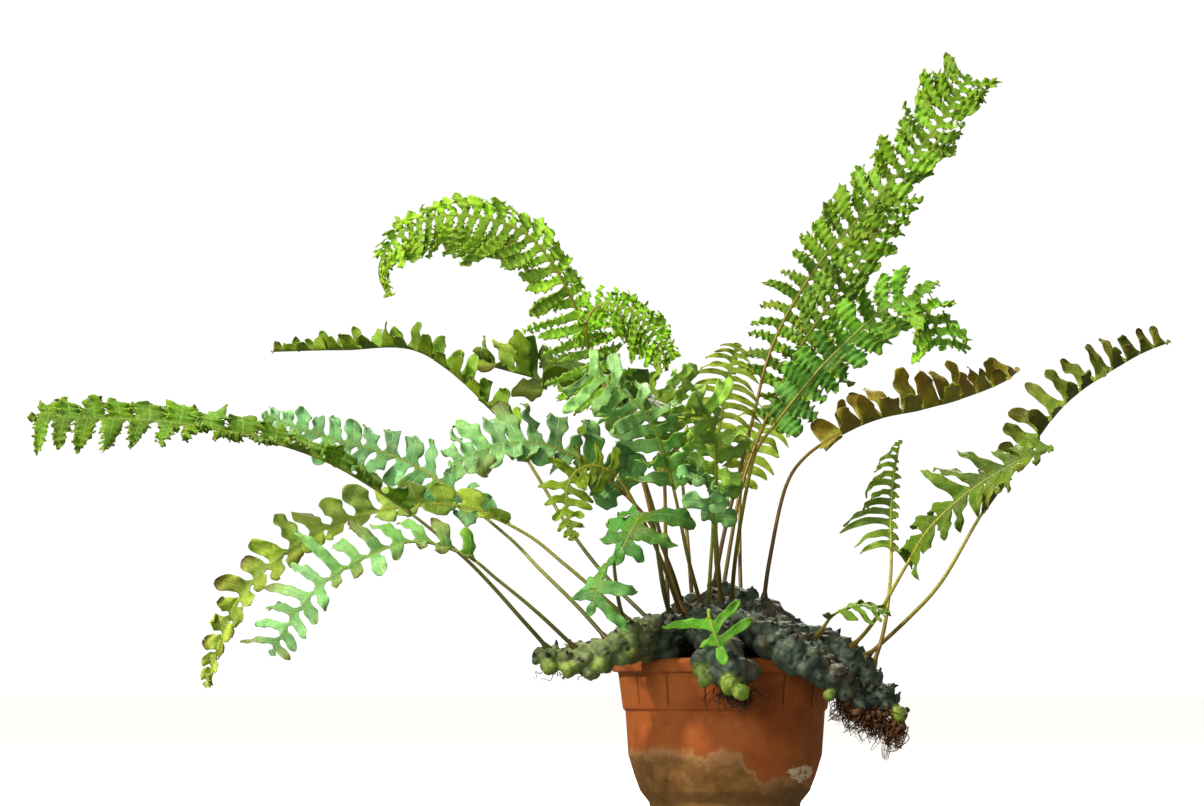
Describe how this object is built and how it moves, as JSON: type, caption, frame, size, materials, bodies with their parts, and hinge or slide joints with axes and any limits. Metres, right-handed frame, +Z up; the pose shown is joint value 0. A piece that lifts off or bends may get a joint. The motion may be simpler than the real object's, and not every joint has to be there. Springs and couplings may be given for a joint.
{
  "type": "potted ant fern",
  "caption": "Ant fern with a lumpy creeping rhizome heaped over a round ceramic pot, and long arching lobed fronds on thin stipes.",
  "frame": {"origin": "middle of the pot's flat underside, on the surface that it stands on", "axes": "+Z up along the pot's axis, +X to the plant's right in front view, where the fronds reach furthest to either side, -Y towards the front"},
  "size_m": [1.0071, 0.4101, 0.6637],
  "materials": {
    "pot_clay": "matte",
    "soil": "matte",
    "rhizome_skin": "satin",
    "roots": "matte",
    "stipe": "satin",
    "blade_bright_green": "satin",
    "blade_blue_green": "satin",
    "blade_dark_green": "satin",
    "blade_olive_brown": "satin"
  },
  "bodies": {
    "root": {"pot": "pot_clay", "soil": "soil", "rhizome": "rhizome_skin", "roots_right": "roots", "roots_front": "roots", "far_left_stipe": "stipe", "far_left_blade": "blade_bright_green", "left_blue_stipe": "stipe", "left_blue_blade": "blade_blue_green", "low_left_inner_stipe": "stipe", "low_left_inner_blade": "blade_blue_green", "low_left_outer_stipe": "stipe", "low_left_outer_blade": "blade_bright_green", "upper_left_stipe": "stipe", "upper_left_blade": "blade_dark_green", "mid_left_stipe": "stipe", "mid_left_blade": "blade_blue_green", "back_left_olive_stipe": "stipe", "back_left_olive_blade": "blade_dark_green", "curled_top_stipe": "stipe", "curled_top_blade": "blade_bright_green", "backlit_stipe": "stipe", "backlit_blade": "blade_bright_green", "upright_centre_stipe": "stipe", "upright_centre_blade": "blade_bright_green", "tallest_stipe": "stipe", "tallest_blade": "blade_bright_green", "tall_back_stipe": "stipe", "tall_back_blade": "blade_bright_green", "bright_curl_stipe": "stipe", "bright_curl_blade": "blade_bright_green", "olive_right_stipe": "stipe", "olive_right_blade": "blade_olive_brown", "far_right_stipe": "stipe", "far_right_blade": "blade_olive_brown", "right_low_stipe": "stipe", "right_low_blade": "blade_bright_green", "right_upright_stipe": "stipe", "right_upright_blade": "blade_bright_green", "small_right_stipe": "stipe", "small_right_blade": "blade_bright_green", "young_front_stipe": "stipe", "young_front_blade": "blade_bright_green", "broad_front_stipe": "stipe", "broad_front_blade": "blade_dark_green", "broad_left_stipe": "stipe", "broad_left_blade": "blade_blue_green", "hanging_tip_stipe": "stipe", "hanging_tip_blade": "blade_bright_green", "centre_left_stipe": "stipe", "centre_left_blade": "blade_blue_green", "centre_front_stipe": "stipe", "centre_front_blade": "blade_dark_green", "centre_back_left_stipe": "stipe", "centre_back_left_blade": "blade_dark_green", "centre_back_right_stipe": "stipe", "centre_back_right_blade": "blade_dark_green", "centre_low_stipe": "stipe", "centre_low_blade": "blade_blue_green"}
  },
  "joints": []
}
